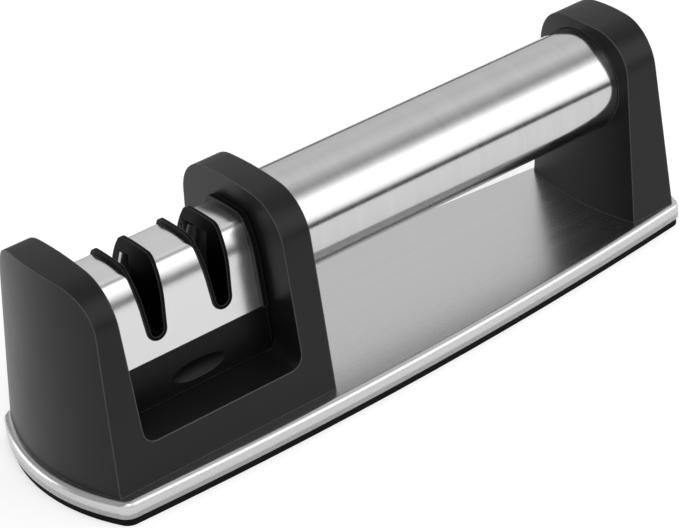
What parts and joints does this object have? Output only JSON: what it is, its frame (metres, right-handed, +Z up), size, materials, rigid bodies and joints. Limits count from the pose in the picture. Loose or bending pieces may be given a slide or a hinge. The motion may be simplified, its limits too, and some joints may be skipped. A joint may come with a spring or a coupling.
{
  "type": "pull-through knife sharpener",
  "caption": "Kitchen knife sharpener: steel base, black sharpening head with coarse and fine slots in a lift-out cassette, and a tube handle between posts.",
  "frame": {"origin": "on the table under the middle of the bounding box", "axes": "+X along the tool from the sharpening head to the handle end, +Z up, -Y the side shown in the picture"},
  "size_m": [0.196, 0.058, 0.0603],
  "materials": {
    "brushed_stainless": "stainless sheet, brushed along its length",
    "tube_stainless": "stainless tube, finely brushed round",
    "cover_stainless": "stainless sheet, fine satin",
    "chassis_plastic": "moulded, plain",
    "pad_rubber": "soft, matt",
    "black_moulding": "fine spark texture with a low sheen",
    "cassette_plastic": "fine spark texture",
    "guide_plastic": "smooth moulded",
    "grey_plastic": "glass-filled, dull",
    "zinc_steel": "bright zinc",
    "tungsten_carbide": "ground, fine cross hatch",
    "dark_ceramic": "fine matt ceramic",
    "spring_steel": "polished strip"
  },
  "bodies": {
    "stand": {"base_plate": "brushed_stainless", "base_chassis": "chassis_plastic", "non_slip_pad": "pad_rubber", "sharpener_housing": "black_moulding", "rear_post": "black_moulding", "handle_tube": "tube_stainless", "front_tube_plug": "chassis_plastic", "rear_tube_plug": "chassis_plastic", "tie_rod": "zinc_steel", "tie_rod_nut": "zinc_steel", "base_screws": "zinc_steel"},
    "cassette": {"cassette_body": "cassette_plastic", "cassette_cover": "cover_stainless", "coarse_slot_guide": "guide_plastic", "fine_slot_guide": "guide_plastic", "coarse_blade_front": "tungsten_carbide", "coarse_blade_rear": "tungsten_carbide", "coarse_holder": "grey_plastic", "fine_pivot_pin": "zinc_steel", "fine_leaf_spring": "spring_steel", "cassette_bottom": "cassette_plastic", "cassette_screws": "zinc_steel"},
    "fine_stage": {"fine_carrier": "grey_plastic", "ceramic_rod_front": "dark_ceramic", "ceramic_rod_rear": "dark_ceramic"}
  },
  "joints": [
    {"name": "cassette_lift", "type": "slide", "parent": "stand", "child": "cassette", "axis": [0, 0, 1], "range_m": [0, 0.05]},
    {"name": "carrier_nod", "type": "hinge", "parent": "cassette", "child": "fine_stage", "pos_m": [-0.047, 0.0048, 0.0274], "axis": [1, 0, 0], "range_deg": [0, 3], "stiffness_Nm_per_rad": 1.2, "deforming": ["fine_leaf_spring"]}
  ]
}
